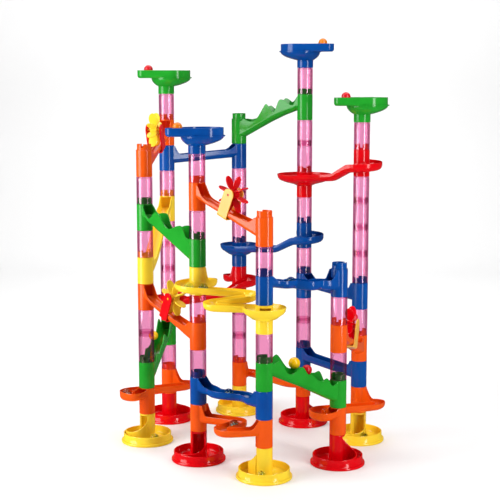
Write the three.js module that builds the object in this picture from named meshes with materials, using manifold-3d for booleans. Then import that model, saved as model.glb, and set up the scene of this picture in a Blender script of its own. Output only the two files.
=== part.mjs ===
// A plastic marble run: eight columns of plug-together pieces stand in a ring on round trays and
// are joined by open chutes. Each piece is one module tall and its spigot plugs into the piece above.
// Millimetres, +Z up. The origin is the middle of the model's footprint, on the floor.

import * as THREE from "three";
import { ConvexGeometry } from "three/addons/geometries/ConvexGeometry.js";
import { mergeVertices } from "three/addons/utils/BufferGeometryUtils.js";
import Module from "manifold-3d";

const wasm = await Module();
wasm.setup();

// ---- driving dimensions ----
const MODULE = 45; // height that one piece adds to a column
const SPAN = 138; // distance between neighbouring columns
const HEADINGS = [-48, -40, 30, 71, 131, 147]; // direction from each column to the next, A to G
const GAP = 0.3; // clearance between pieces that touch
const SIDES = 8; // sides of every tube section
const TUBE_R = 14;
const SPIGOT_R = 12;
const SPIGOT_H = 9.5;
const SOCKET_R = 12.7;
const BORE_R = 10.8;
const CHAMBER_FLOOR = 12; // top of the solid web above the socket in an inlet section
const MARBLE_R = 8;

const BASE_H = 49; // floor to the first joint
const BASE_R = 44;
const TRAY_RIM_R = 39;
const TRAY_RIM_H = 16;
const TRAY_FLOOR = 3;
const GUIDE_STEPS = 7; // stations along the guide wall in a tray

const CHANNEL_W = 11; // outer half width of a chute
const CHANNEL_WALL = 1.6;
const CHANNEL_SOLE = 2;

const DISH_SIDES = 12; // sides of the saucers on the stepped loops
const DISH_RIM = 41; // rim of a saucer over the foot of its section
const DISH_R = 34; // radius of a bowl's dish
const DISH_OFFSET = 11; // the funnel's neck is this far off the dish's middle
const NECK_H = 13;
const FUNNEL_TOP = 27;
const BOWL_H = 41;
const TROUGH_REACH = 57; // from the dish's middle to the end of the feed trough

const AXLE_S = 76; // distance of the windmill's axle from the inlet column
const AXLE_Z = 75; // height of the axle over the outlet section
const WHEEL_R = 31;
const PADDLES = 8;

const ARC_STEP = 42; // degrees of a bend between two stations of a route
const RAD = Math.PI / 180;

// ---- plan of the ring ----
function ringColumns() {
  const columns = [new THREE.Vector2(0, 0)];
  for (const heading of HEADINGS) {
    const last = columns.at(-1);
    const step = new THREE.Vector2(Math.cos(heading * RAD), Math.sin(heading * RAD));
    columns.push(last.clone().addScaledVector(step, SPAN));
  }
  // the last column closes the ring, one span from both of its neighbours
  const chord = columns[0].clone().sub(columns.at(-1));
  const middle = columns.at(-1).clone().addScaledVector(chord, 0.5);
  const rise = Math.sqrt(SPAN ** 2 - (chord.length() / 2) ** 2);
  const outward = new THREE.Vector2(chord.y, -chord.x).normalize();
  columns.push(middle.addScaledVector(outward, rise));
  return Object.fromEntries([..."ABCDEFGH"].map((name, i) => [name, columns[i]]));
}
const COLUMN = ringColumns();
const levelZ = (level) => BASE_H + MODULE * level;

// ---- solids ----
function toManifold(geometry) {
  const bare = geometry.clone();
  bare.deleteAttribute("normal");
  bare.deleteAttribute("uv");
  const merged = mergeVertices(bare, 1e-4);
  return new wasm.Manifold(new wasm.Mesh({
    numProp: 3,
    vertProperties: new Float32Array(merged.attributes.position.array),
    triVerts: new Uint32Array(merged.index.array),
  }));
}

function toGeometry(solid) {
  const mesh = solid.getMesh();
  const geometry = new THREE.BufferGeometry();
  geometry.setAttribute("position", new THREE.BufferAttribute(mesh.vertProperties, 3));
  geometry.setIndex(new THREE.BufferAttribute(mesh.triVerts, 1));
  geometry.computeVertexNormals();
  return geometry;
}

function unite(solids) {
  return solids.reduce((whole, next) => whole.add(next));
}

// a solid turned about +Z, or about +Y, from a profile of [radius, height] points
function turned(profile, { sides = SIDES, at = [0, 0, 0], axis = "z" } = {}) {
  const points = profile.map(([r, z]) => new THREE.Vector2(r, z));
  const geometry = new THREE.LatheGeometry(points, sides, Math.PI / sides);
  if (axis === "z") geometry.rotateX(Math.PI / 2);
  geometry.translate(...at);
  return toManifold(geometry);
}

function rod(radius, z0, z1, options) {
  return turned([[0, z0], [radius, z0], [radius, z1], [0, z1]], options);
}

function hull(points) {
  return toManifold(new ConvexGeometry(points.map((p) => new THREE.Vector3(...p))));
}

function box([x0, y0, z0], [x1, y1, z1]) {
  const geometry = new THREE.BoxGeometry(x1 - x0, y1 - y0, z1 - z0);
  geometry.translate((x0 + x1) / 2, (y0 + y1) / 2, (z0 + z1) / 2);
  return toManifold(geometry);
}

function circle(radius, x, z, count = 12) {
  return Array.from({ length: count }, (_, i) => {
    const a = (i * 2 * Math.PI) / count;
    return [x + radius * Math.cos(a), radius * Math.sin(a), z];
  });
}

// ---- tube sections ----
// outside of a section that fills the column from z0 to z1 and ends in a spigot
function sectionBody(z0, z1, at) {
  const shoulder = z1 - GAP;
  return turned([
    [0, z0], [TUBE_R, z0], [TUBE_R, shoulder], [SPIGOT_R, shoulder],
    [SPIGOT_R, z1 + SPIGOT_H], [0, z1 + SPIGOT_H],
  ], { at });
}

function sectionBore(z0, z1, at) {
  const top = z1 + SPIGOT_H + 1;
  return turned([[0, z0 - 1], [SOCKET_R, z0 - 1], [BORE_R, top], [0, top]], { at });
}

// a run of clear tube: a closed ring profile with a tapered bore
function tubeRun(modules) {
  const top = modules * MODULE;
  return turned([
    [SOCKET_R, 0], [TUBE_R, 0], [TUBE_R, top - GAP], [SPIGOT_R, top - GAP],
    [SPIGOT_R, top + SPIGOT_H], [BORE_R, top + SPIGOT_H], [SOCKET_R, 0],
  ]);
}

// ---- chutes ----
// A chute's route lies in its own frame: s runs from the inlet column to the outlet column, n to
// the left of that, and z is the height over the foot of the outlet section.
const at = (s, n = 0) => ({ s, n });

function arc(s, n, radius, from, to, endRadius = radius) {
  const steps = Math.max(1, Math.round(Math.abs(to - from) / ARC_STEP));
  return Array.from({ length: steps + 1 }, (_, i) => {
    const a = THREE.MathUtils.lerp(from, to, i / steps) * RAD;
    const r = THREE.MathUtils.lerp(radius, endRadius, i / steps);
    return at(s + r * Math.cos(a), n + r * Math.sin(a));
  });
}

const straight = (stations = []) => [at(0), at(14), at(22), ...stations.map((s) => at(s)),
  at(114), at(SPAN)];

// a route that swings to the right and left in turn, straight at both ends
function weave(waves, width, first = 18, last = 120) {
  const step = (last - first) / (waves * 2);
  const bends = Array.from({ length: waves * 2 }, (_, i) => (
    at(first + step * (i + 0.5), i % 2 ? width : -width)
  ));
  return [at(0), at(14), ...bends, at(last), at(SPAN)];
}

// heights along a route, by the share of its length
function heights(...marks) {
  return (t) => {
    const i = Math.max(1, marks.findIndex(([share]) => share >= t));
    const [t0, z0] = marks[i - 1];
    const [t1, z1] = marks[i];
    return z0 + ((z1 - z0) * (t - t0)) / (t1 - t0);
  };
}

const OFF_LEFT = 144; // where a level loop leaves its inlet section

const STYLES = {
  // straight and steep, under a windmill
  windmill: {
    drop: 1, route: straight([96]), floor: heights([0, 61], [1, 12]), rim: () => 13, foot: 9,
  },
  // straight, with tall waves on both walls
  waves: {
    drop: 1,
    route: straight([43, 64, 85, 106]),
    floor: heights([0, 74], [1, 9]),
    rim: (s) => 21 - 9 * Math.cos((2 * Math.PI * (s - 43)) / 42),
    foot: 6,
  },
  level: {
    drop: 0, route: straight(), floor: heights([0, 25], [1, 14]), rim: () => 14, foot: 4,
  },
  slide: {
    drop: 2,
    route: straight([40, 70, 96]),
    floor: heights([0, 108], [0.18, 100], [0.3, 88], [0.7, 38], [0.84, 26], [1, 18]),
    rim: () => 17,
    foot: 8,
  },
  bend: {
    drop: 0, route: weave(1, 8), floor: heights([0, 22], [1, 16]), rim: () => 12, foot: 4,
  },
  snake: {
    drop: 0, route: weave(2, 7), floor: heights([0, 30], [1, 13]), rim: () => 12, foot: 4,
  },
  zigzag: {
    drop: 0,
    route: [at(0), at(12, 12), ...arc(47, 29, 13, 135, -10), ...arc(68, -4, 12, 170, 280),
      at(118, -5), at(SPAN)],
    floor: heights([0, 20], [1, 14]),
    rim: () => 11,
    foot: 3,
  },
  // a loop off the left of the inlet, across, and a loop into the right of the outlet
  levelLoops: {
    drop: 0,
    route: [at(0), ...arc(0, 0, 26, OFF_LEFT, 115, 37), ...arc(0, 0, 37, 90, 60),
      ...arc(SPAN, 0, 37, -120, -82), at(SPAN)],
    floor: heights([0, 31], [0.15, 28], [0.8, 11], [1, 8]),
    rim: () => 13,
    foot: 2,
  },
  // half a turn round the inlet, a step down, and a wide dish round the outlet
  stepLoops: (dish, side) => ({
    drop: 1,
    route: [at(0), ...arc(0, 0, 25, -50, -260), at(34, 27), at(58, (27 + side) / 2),
      at(96, side), at(SPAN - 16, side)],
    floor: heights([0, 64], [0.1, 60], [0.5, 54], [0.64, 39], [1, 32]),
    rim: () => 11,
    foot: 2,
    dish,
  }),
  // a ring round the inlet, two lanes back and forth, and a cup round the outlet
  lanes: {
    drop: 1,
    route: [at(0), ...arc(0, 0, 26, 73, 295), ...arc(79, 21, 12, 133, -47),
      ...arc(65, -26, 12, 133, 313), at(SPAN - 18, 18)],
    floor: heights([0, 60], [0.07, 56], [0.35, 51], [0.55, 44], [0.75, 36], [1, 30]),
    rim: () => 10,
    foot: 2,
    dish: 35,
  },
};

// A trough is swept along its route in stretches that end where the route turns sharply. There the
// main stretch runs past the corner by `beyond`, and the leg to a column by `legBeyond`.
const SHARP = 62 * RAD;

function stretches(points, beyond, legBeyond) {
  const directions = points.slice(1).map((p, i) => p.plan.clone().sub(points[i].plan).normalize());
  const turns = points.map((_, i) => {
    const before = directions[Math.max(i - 1, 0)];
    const after = directions[Math.min(i, directions.length - 1)];
    return { before, after, angle: Math.acos(THREE.MathUtils.clamp(before.dot(after), -1, 1)) };
  });
  const station = (point, direction, shift, widen) => ({
    ...point,
    plan: point.plan.clone().addScaledVector(direction, shift),
    left: new THREE.Vector2(-direction.y, direction.x).multiplyScalar(widen),
  });
  const result = [[]];
  points.forEach((point, i) => {
    const { before, after, angle } = turns[i];
    if (angle > SHARP) {
      result.at(-1).push(station(point, before, i === 1 ? legBeyond : beyond, 1));
      result.push([station(point, after, i === points.length - 2 ? -legBeyond : -beyond, 1)]);
    } else {
      const middle = before.clone().add(after).normalize();
      result.at(-1).push(station(point, middle, 0, 1 / Math.cos(angle / 2)));
    }
  });
  return result;
}

// a closed body through the sections of a stretch, each a list of [side, up] corners
function sweep(stretch, cornersAt) {
  const positions = [];
  for (const station of stretch) {
    for (const [side, up] of cornersAt(station)) {
      const { x, y } = station.plan.clone().addScaledVector(station.left, side);
      positions.push(x, y, station.z + up);
    }
  }
  const outline = cornersAt(stretch[0]).map((corner) => new THREE.Vector2(...corner));
  const count = outline.length;
  const last = (stretch.length - 1) * count;
  const index = [];
  for (const [i, j, k] of THREE.ShapeUtils.triangulateShape(outline, [])) {
    index.push(i, k, j, last + i, last + j, last + k);
  }
  for (let i = 0; i < last; i += count) {
    for (let corner = 0; corner < count; corner += 1) {
      const a = i + corner;
      const b = i + ((corner + 1) % count);
      index.push(a, b + count, a + count, a, b, b + count);
    }
  }
  const geometry = new THREE.BufferGeometry();
  geometry.setAttribute("position", new THREE.Float32BufferAttribute(positions, 3));
  geometry.setIndex(index);
  return toManifold(geometry);
}

// the first and last pair of stations, where a stretch opens into a section or the next stretch
function ends(stretch) {
  return stretch.length > 3 ? [stretch.slice(0, 2), stretch.slice(-2)] : [stretch];
}

// a saucer round the outlet section, with a window that lets the marble into the column
function dishBody(radius, foot, place) {
  return turned([
    [0, foot + 20], [TUBE_R, foot + 20], [radius * 0.72, foot + 27], [radius - 2, foot + 32],
    [radius, foot + DISH_RIM], [0, foot + DISH_RIM],
  ], { sides: DISH_SIDES, at: place });
}

function dishHollow(radius, foot, [x, y, z], heading) {
  const top = foot + DISH_RIM + 16;
  const floor = foot + DISH_RIM - 14;
  const window = new THREE.BoxGeometry(TUBE_R, MARBLE_R * 2 + 2, MARBLE_R * 2 + 2);
  window.translate(TUBE_R, 0, floor + MARBLE_R + 1);
  window.rotateZ(heading);
  window.translate(x, y, z);
  return unite([
    turned([
      [TUBE_R + 2, floor], [radius * 0.7, floor + 2.5], [radius - 4, floor + 6],
      [radius - 1.8, foot + DISH_RIM], [radius - 1.8, top], [TUBE_R + 2, top], [TUBE_R + 2, floor],
    ], { sides: DISH_SIDES, at: [x, y, z] }),
    turned([
      [TUBE_R, floor], [TUBE_R + 4, floor], [TUBE_R + 4, top], [TUBE_R, top], [TUBE_R, floor],
    ], { at: [x, y, z] }),
    toManifold(window),
  ]);
}

function chute(style, from, to, level, tubeBelow) {
  const start = COLUMN[from];
  const along = COLUMN[to].clone().sub(start).normalize();
  const footZ = levelZ(level);
  const inletZ = footZ + style.drop * MODULE;
  const plan = style.route.map(({ s, n }) => new THREE.Vector2(
    start.x + along.x * s - along.y * n,
    start.y + along.y * s + along.x * n,
  ));
  const lengths = [0];
  for (let i = 1; i < plan.length; i += 1) {
    lengths.push(lengths[i - 1] + plan[i].distanceTo(plan[i - 1]));
  }
  const total = lengths.at(-1);
  const points = plan.map((p, i) => ({
    plan: p,
    z: footZ + style.floor(lengths[i] / total),
    rim: style.rim(style.route[i].s),
    fromInlet: lengths[i],
    toOutlet: total - lengths[i],
  }));

  const inletTop = inletZ + MODULE - GAP - 1.2;
  const w = CHANNEL_W;
  const v = CHANNEL_W - CHANNEL_WALL;
  const trough = ({ z, rim, fromInlet, toOutlet }) => {
    const top = fromInlet < 15 ? inletTop - z - 0.8 * Math.max(0, fromInlet - 8) : rim;
    const sole = toOutlet < 30 ? style.foot : CHANNEL_SOLE;
    return [[-w, top], [-w * 0.75, -sole], [w * 0.75, -sole], [w, top],
      [v, top], [v * 0.7, 0], [-v * 0.7, 0], [-v, top]];
  };
  const inside = ({ z, rim, fromInlet, toOutlet }) => {
    let top = rim + 3;
    if (fromInlet < 15) top = inletTop - z;
    if (toOutlet < 15) top = 2 * MARBLE_R + 2;
    return [[-v, top], [-v * 0.7, 0], [v * 0.7, 0], [v, top]];
  };

  const inletAt = [start.x, start.y, 0];
  const outletAt = [COLUMN[to].x, COLUMN[to].y, 0];
  const outletFoot = footZ - tubeBelow * MODULE;
  const windowHeading = Math.atan2(-along.y, -along.x) + 2.4;
  const solid = unite([
    sectionBody(inletZ, inletZ + MODULE, inletAt),
    sectionBody(outletFoot, footZ + MODULE, outletAt),
    ...stretches(points, w, CHANNEL_WALL / 2 - w).map((stretch) => sweep(stretch, trough)),
    ...(style.dish ? [dishBody(style.dish, footZ, outletAt)] : []),
  ]);
  const chamberZ = Math.max(points[0].z, inletZ + CHAMBER_FLOOR);
  const voids = unite([
    rod(SOCKET_R, inletZ - 1, inletZ + SPIGOT_H + 0.8, { at: inletAt }),
    rod(BORE_R, chamberZ, inletZ + MODULE + SPIGOT_H + 1, { at: inletAt }),
    sectionBore(outletFoot, footZ + MODULE, outletAt),
    ...stretches(points, v, 0).flatMap(ends).map((stretch) => sweep(stretch, inside)),
    ...(style.dish ? [dishHollow(style.dish, footZ, outletAt, windowHeading)] : []),
  ]);
  return solid.subtract(voids);
}

// ---- bases, bowls, windmills ----
// a round tray with a stem; the marble drops down the stem, rolls out of its window and follows a
// guide wall that spirals out from the window's edge to the rim
function base(windowAngle) {
  const tray = turned([
    [0, 0], [BASE_R, 0], [BASE_R, 5], [TRAY_RIM_R + 1.5, 7], [TRAY_RIM_R, TRAY_RIM_H],
    [TRAY_RIM_R - 2.4, TRAY_RIM_H], [TRAY_RIM_R - 2.4, TRAY_FLOOR], [0, TRAY_FLOOR],
  ], { sides: 12 });
  const stem = sectionBody(1, BASE_H, [0, 0, 0]);
  const bore = rod(BORE_R, TRAY_FLOOR + 2, BASE_H + SPIGOT_H + 1);
  const windowTop = BASE_H - 4;
  const window = new THREE.BoxGeometry(TUBE_R * 2, 20, windowTop - TRAY_FLOOR);
  window.translate(TUBE_R, 0, (windowTop + TRAY_FLOOR) / 2);
  window.rotateZ(windowAngle * RAD);
  const guide = Array.from({ length: GUIDE_STEPS }, (_, i) => {
    const share = i / (GUIDE_STEPS - 1);
    const a = (windowAngle + 58 - 142 * share) * RAD;
    const spoke = new THREE.Vector2(Math.cos(a), Math.sin(a));
    return {
      plan: spoke.clone().multiplyScalar(THREE.MathUtils.lerp(TUBE_R - 1, TRAY_RIM_R - 1.5, share)),
      left: spoke,
      z: 0,
      top: TRAY_RIM_H + 19 * Math.max(0, 1 - 3 * share) ** 2,
    };
  });
  const fin = ({ top }) => [[-1, top], [-1, 2], [1, 2], [1, top]];
  return unite([tray, stem]).subtract(bore).subtract(toManifold(window)).add(sweep(guide, fin));
}

// an off-centre funnel with a feed trough; feed is -1 for a trough towards -X and 1 towards +X
function bowl(feed, tubeBelow) {
  const shift = -feed * DISH_OFFSET;
  const end = shift + feed * TROUGH_REACH;
  const troughR = CHANNEL_W;
  const troughY = -(DISH_R - troughR);
  const neck = rod(TUBE_R, -tubeBelow * MODULE, NECK_H + 1);
  const funnel = hull([
    ...circle(TUBE_R, 0, NECK_H, 8), ...circle(26, shift * 0.75, NECK_H + 5, 8),
    ...circle(DISH_R, shift, FUNNEL_TOP),
  ]);
  const rim = hull([...circle(DISH_R, shift, FUNNEL_TOP), ...circle(DISH_R, shift, BOWL_H)]);
  const pill = (radius, z0, z1) => hull([z0, z1].flatMap((z) => [
    ...circle(radius, end - feed * troughR, z, 6), ...circle(radius, shift, z, 6),
  ].map(([x, y]) => [x, y + troughY, z])));
  const floorZ = BOWL_H - 7;
  const body = unite([neck, funnel, rim, pill(troughR, FUNNEL_TOP, BOWL_H)]);
  const hollow = unite([
    turned([[0, -tubeBelow * MODULE - 1], [SOCKET_R, -tubeBelow * MODULE - 1],
      [BORE_R, NECK_H + 3], [0, NECK_H + 3]]),
    hull([...circle(BORE_R - 0.4, 0, NECK_H + 1, 8), ...circle(DISH_R - 2, shift, FUNNEL_TOP + 1)]),
    hull([...circle(DISH_R - 2, shift, FUNNEL_TOP + 1), ...circle(DISH_R - 2, shift, BOWL_H + 2)]),
    pill(troughR - 1.8, floorZ, BOWL_H + 2),
  ]);
  return body.subtract(hollow);
}

// the clip that holds a windmill over its chute, in a frame with x down the slope and z square to it
function bracket(soleZ) {
  const y0 = CHANNEL_W + GAP + 0.2;
  const y1 = y0 + 2.2;
  const side = (sign) => {
    const arm = [[-10, soleZ], [10, soleZ], [10, -6], [8, 4], [3, 9], [-3, 9], [-8, 4], [-10, -6]];
    return hull(arm.flatMap(([x, z]) => [[x, sign * y0, z], [x, sign * y1, z]]));
  };
  const strap = box([-10, -y1, soleZ - 2.2], [10, y1, soleZ + 0.2]);
  const hole = rod(2.6, -20, 20, { sides: 6, axis: "y" });
  return unite([side(1), side(-1), strap]).subtract(hole);
}

// paddle wheel with its axle along y
function wheel() {
  const paddle = [[8, 4], [24, 7.5], [WHEEL_R, 0], [24, -7.5], [8, -4]];
  const parts = [
    rod(10, -3, 3, { sides: PADDLES, axis: "y" }),
    rod(2, -(CHANNEL_W + 2), CHANNEL_W + 2, { sides: 6, axis: "y" }),
  ];
  for (let i = 0; i < PADDLES; i += 1) {
    const a = (i * 2 * Math.PI) / PADDLES;
    parts.push(hull(paddle.flatMap(([r, y]) => [-1, 1].map((t) => [
      r * Math.cos(a) - t * Math.sin(a), y, r * Math.sin(a) + t * Math.cos(a),
    ]))));
  }
  return unite(parts);
}

// ---- materials ----
const plastic = (color) => new THREE.MeshStandardMaterial({ color, roughness: 0.25, metalness: 0 });
const ORANGE = plastic(0xf05a1e);
const GREEN = plastic(0x3cae2b);
const BLUE = plastic(0x0b4da2);
const YELLOW = plastic(0xffd21e);
const RED = plastic(0xd90b1c);
const AMBER = plastic(0xf7a81b);
const CLEAR_PINK = new THREE.MeshStandardMaterial({
  color: 0xf7a8d0, roughness: 0.08, metalness: 0, transparent: true, opacity: 0.45,
});

// ---- assembly ----
// every chute: [name, style, inlet column, outlet column, outlet level, colour]
const CHUTES = [
  ["wave_chute_f_g", STYLES.waves, "F", "G", 10, GREEN],
  ["level_chute_g_h", STYLES.level, "G", "H", 9, BLUE],
  ["windmill_chute_h_a", STYLES.windmill, "H", "A", 9, ORANGE],
  ["wave_chute_a_b", STYLES.waves, "A", "B", 6, GREEN],
  ["slide_chute_h_a", STYLES.slide, "H", "A", 5, YELLOW],
  ["windmill_chute_a_b", STYLES.windmill, "A", "B", 3, ORANGE],
  ["lane_chute_b_c", STYLES.lanes, "B", "C", 4, YELLOW],
  ["windmill_chute_b_c", STYLES.windmill, "B", "C", 7, ORANGE],
  ["step_loop_chute_e_f", STYLES.stepLoops(48, 32), "E", "F", 8, RED],
  ["step_loop_chute_f_g", STYLES.stepLoops(35, 23), "F", "G", 5, BLUE],
  ["snake_chute_c_d", STYLES.snake, "C", "D", 5, BLUE],
  ["level_chute_f_e_upper", STYLES.level, "F", "E", 4, BLUE],
  ["windmill_chute_d_e", STYLES.windmill, "D", "E", 2, ORANGE],
  ["wave_chute_c_d", STYLES.waves, "C", "D", 1, GREEN],
  ["level_chute_f_e_lower", STYLES.level, "F", "E", 1, BLUE],
  ["loop_chute_d_e", STYLES.levelLoops, "D", "E", 0, ORANGE],
  ["loop_chute_f_g", STYLES.levelLoops, "F", "G", 0, ORANGE],
  ["bend_chute_b_c", STYLES.bend, "B", "C", 1, BLUE],
  ["zigzag_chute_c_b", STYLES.zigzag, "C", "B", 0, ORANGE],
  ["step_loop_chute_g_h", STYLES.stepLoops(35, 23), "G", "H", 3, RED],
  ["wave_chute_h_a", STYLES.waves, "H", "A", 1, GREEN],
  ["loop_chute_a_h", STYLES.levelLoops, "A", "H", 0, ORANGE],
];
const WINDMILL_COLOURS = {
  windmill_chute_h_a: [RED, YELLOW],
  windmill_chute_a_b: [RED, YELLOW],
  windmill_chute_b_c: [AMBER, RED],
  windmill_chute_d_e: [AMBER, RED],
};
// number of modules in each column, its base's colour, and where the base's window faces
const STACKS = {
  A: [10, YELLOW, -139], B: [10, RED, -85], C: [8, YELLOW, 152], D: [6, RED, -5],
  E: [11, YELLOW, -84], F: [13, RED, 20], G: [11, YELLOW, 90], H: [12, RED, 60],
};
// a bowl: [column, direction of its feed trough, colour, its ball's colour]
const BOWLS = [["H", -1, GREEN, RED], ["B", -1, BLUE, AMBER], ["E", -1, GREEN, RED],
  ["F", 1, BLUE, AMBER]];

const parts = [];
function place(name, solid, material, position = [0, 0, 0]) {
  const mesh = new THREE.Mesh(toGeometry(solid), material);
  mesh.name = name;
  mesh.position.set(...position);
  parts.push(mesh);
  return mesh;
}

// which piece fills each place in the columns
const filled = new Map();
for (const [name, style, from, to, level] of CHUTES) {
  filled.set(`${from}${level + style.drop}`, { name, end: "inlet" });
  filled.set(`${to}${level}`, { name, end: "outlet" });
}

// the clear tubes fill the places between; a lone tube under an outlet or a bowl belongs to it
const runs = [];
const joined = new Set();
for (const [column, [modules]] of Object.entries(STACKS)) {
  let bottom = null;
  for (let level = 0; level <= modules; level += 1) {
    const above = filled.get(`${column}${level}`);
    const empty = !above && level < modules;
    if (empty && bottom === null) bottom = level;
    if (!empty && bottom !== null) {
      const underBowl = level === modules;
      const lone = level - bottom === 1;
      if (lone && (underBowl || above.end === "outlet")) joined.add(`${column}${level}`);
      else runs.push([column, bottom, level - bottom]);
      bottom = null;
    }
  }
}

for (const [name, style, from, to, level, material] of CHUTES) {
  const tubeBelow = joined.has(`${to}${level}`) ? 1 : 0;
  place(name, chute(style, from, to, level, tubeBelow), material);
}
for (const [column, level, modules] of runs) {
  const { x, y } = COLUMN[column];
  const name = `clear_tube_${column.toLowerCase()}_${level}`;
  place(name, tubeRun(modules), CLEAR_PINK, [x, y, levelZ(level)]);
}
for (const [column, [, material, windowAngle]] of Object.entries(STACKS)) {
  const { x, y } = COLUMN[column];
  place(`base_${column.toLowerCase()}`, base(windowAngle), material, [x, y, 0]);
}
for (const [column, feed, material, ballMaterial] of BOWLS) {
  const { x, y } = COLUMN[column];
  const modules = STACKS[column][0];
  const z = levelZ(modules);
  place(`bowl_${column.toLowerCase()}`, bowl(feed, joined.has(`${column}${modules}`) ? 1 : 0),
    material, [x, y, z]);
  const ball = toManifold(new THREE.SphereGeometry(MARBLE_R, 10, 6));
  const ballX = x + feed * (TROUGH_REACH - DISH_OFFSET - CHANNEL_W - 6);
  place(`ball_${column.toLowerCase()}`, ball, ballMaterial,
    [ballX, y - (DISH_R - CHANNEL_W), z + BOWL_H - 7 + MARBLE_R + GAP]);
}
for (const [name, style, from, to, level] of CHUTES) {
  if (style !== STYLES.windmill) continue;
  const start = COLUMN[from];
  const along = COLUMN[to].clone().sub(start).normalize();
  const fall = style.floor(0) - style.floor(1);
  const slope = Math.atan2(fall, SPAN);
  const floorZ = style.floor(AXLE_S / SPAN);
  const position = [start.x + along.x * AXLE_S, start.y + along.y * AXLE_S, levelZ(level) + AXLE_Z];
  const soleZ = -(AXLE_Z - floorZ + CHANNEL_SOLE) * Math.cos(slope) - GAP - 0.2;
  const heading = Math.atan2(along.y, along.x);
  const [bracketMaterial, wheelMaterial] = WINDMILL_COLOURS[name];
  const suffix = `${from}_${to}`.toLowerCase();
  const clip = place(`windmill_bracket_${suffix}`, bracket(soleZ), bracketMaterial, position);
  clip.rotation.set(0, slope, heading, "ZYX");
  const spinner = place(`windmill_wheel_${suffix}`, wheel(), wheelMaterial, position);
  spinner.rotation.set(0, slope, heading, "ZYX");
}

// ---- the whole run, with its footprint's middle at the origin ----
const run = new THREE.Group();
run.name = "marble_run";
run.add(...parts);
run.updateMatrixWorld(true);
const bounds = new THREE.Box3().setFromObject(run, true);
const centre = bounds.getCenter(new THREE.Vector3());
run.position.set(-centre.x, -centre.y, -bounds.min.z);
run.updateMatrixWorld(true);

export default run;
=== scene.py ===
"""Looks of a plastic marble run: clear tubes, open chutes, paddle wheels, funnel bowls and trays.

Shapes are worked out in millimetres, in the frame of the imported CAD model, and stored in metres.
"""

import math

import bmesh
import bpy
import numpy as np
from mathutils import Matrix, Vector


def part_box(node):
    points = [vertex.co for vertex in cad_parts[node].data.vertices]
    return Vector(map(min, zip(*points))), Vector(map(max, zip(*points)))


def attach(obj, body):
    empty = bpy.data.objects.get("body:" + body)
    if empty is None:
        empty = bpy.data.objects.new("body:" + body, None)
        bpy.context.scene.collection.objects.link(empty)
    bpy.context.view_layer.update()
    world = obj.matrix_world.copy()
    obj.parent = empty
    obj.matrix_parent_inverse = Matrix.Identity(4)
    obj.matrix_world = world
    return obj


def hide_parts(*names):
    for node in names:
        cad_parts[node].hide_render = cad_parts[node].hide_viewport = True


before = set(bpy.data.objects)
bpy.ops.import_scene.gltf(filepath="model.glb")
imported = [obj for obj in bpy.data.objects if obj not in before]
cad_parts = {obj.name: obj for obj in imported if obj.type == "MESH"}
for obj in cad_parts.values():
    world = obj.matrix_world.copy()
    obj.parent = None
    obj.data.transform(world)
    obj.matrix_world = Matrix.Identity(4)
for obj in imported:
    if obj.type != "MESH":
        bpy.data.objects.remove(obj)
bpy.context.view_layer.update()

# ---- places taken from the frame, in millimetres ----


def box_mm(node):
    low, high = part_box(node)
    return np.array(low) * 1000, np.array(high) * 1000


def plan_centre(node):
    low, high = box_mm(node)
    return (low[:2] + high[:2]) / 2


COLUMN = {name: plan_centre(f"base_{name.lower()}") for name in "ABCDEFGH"}
TUBE_FOOT = {level: box_mm(f"clear_tube_a_{level}")[0][2] for level in (2, 6)}
MODULE = (TUBE_FOOT[6] - TUBE_FOOT[2]) / 4
BASE_H = TUBE_FOOT[2] - 2 * MODULE
SPAN = float(np.linalg.norm(COLUMN["B"] - COLUMN["A"]))


def level_z(level):
    return BASE_H + MODULE * level


# ---- camera ----
# the camera looks along +Y, turned down a little, from in front of and above the run
VIEW_FROM_A = Vector((176.13, -1996.83))  # from column A, in plan
CAMERA_H = 618.66
PITCH = 8.211
camera_data = bpy.data.cameras.new("camera")
camera_data.sensor_width = 36
camera_data.lens = 86.41
camera_data.clip_end = 50
camera = bpy.data.objects.new("camera", camera_data)
bpy.context.scene.collection.objects.link(camera)
camera.location = Vector((
    COLUMN["A"][0] + VIEW_FROM_A.x, COLUMN["A"][1] + VIEW_FROM_A.y, CAMERA_H,
)) / 1000
camera.rotation_euler = (math.radians(90 - PITCH), 0, 0)
bpy.context.scene.camera = camera
bpy.context.scene.view_settings.view_transform = "Standard"
bpy.context.scene.view_settings.look = "None"

# ---- sizes ----
GAP = 0.25
TUBE_R = 13.4
SOCKET_R = 12.1
SPIGOT_R = 11.8
BORE_R = 10.7
SPIGOT_H = 9.5
WEB = 12  # top of the floor over an inlet's socket
HALF = 11  # half width of a channel
WALL = 1.6
SOLE = 2.0
MARBLE_R = 8

# ---- materials ----


def linear(code):
    channels = [int(code[i:i + 2], 16) / 255 for i in (0, 2, 4)]
    return [c / 12.92 if c <= 0.04045 else ((c + 0.055) / 1.055) ** 2.4 for c in channels] + [1.0]


def new_material(name):
    material = bpy.data.materials.new(name)
    material.use_nodes = True
    nodes, links = material.node_tree.nodes, material.node_tree.links
    return material, nodes, links, nodes["Principled BSDF"]


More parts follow.
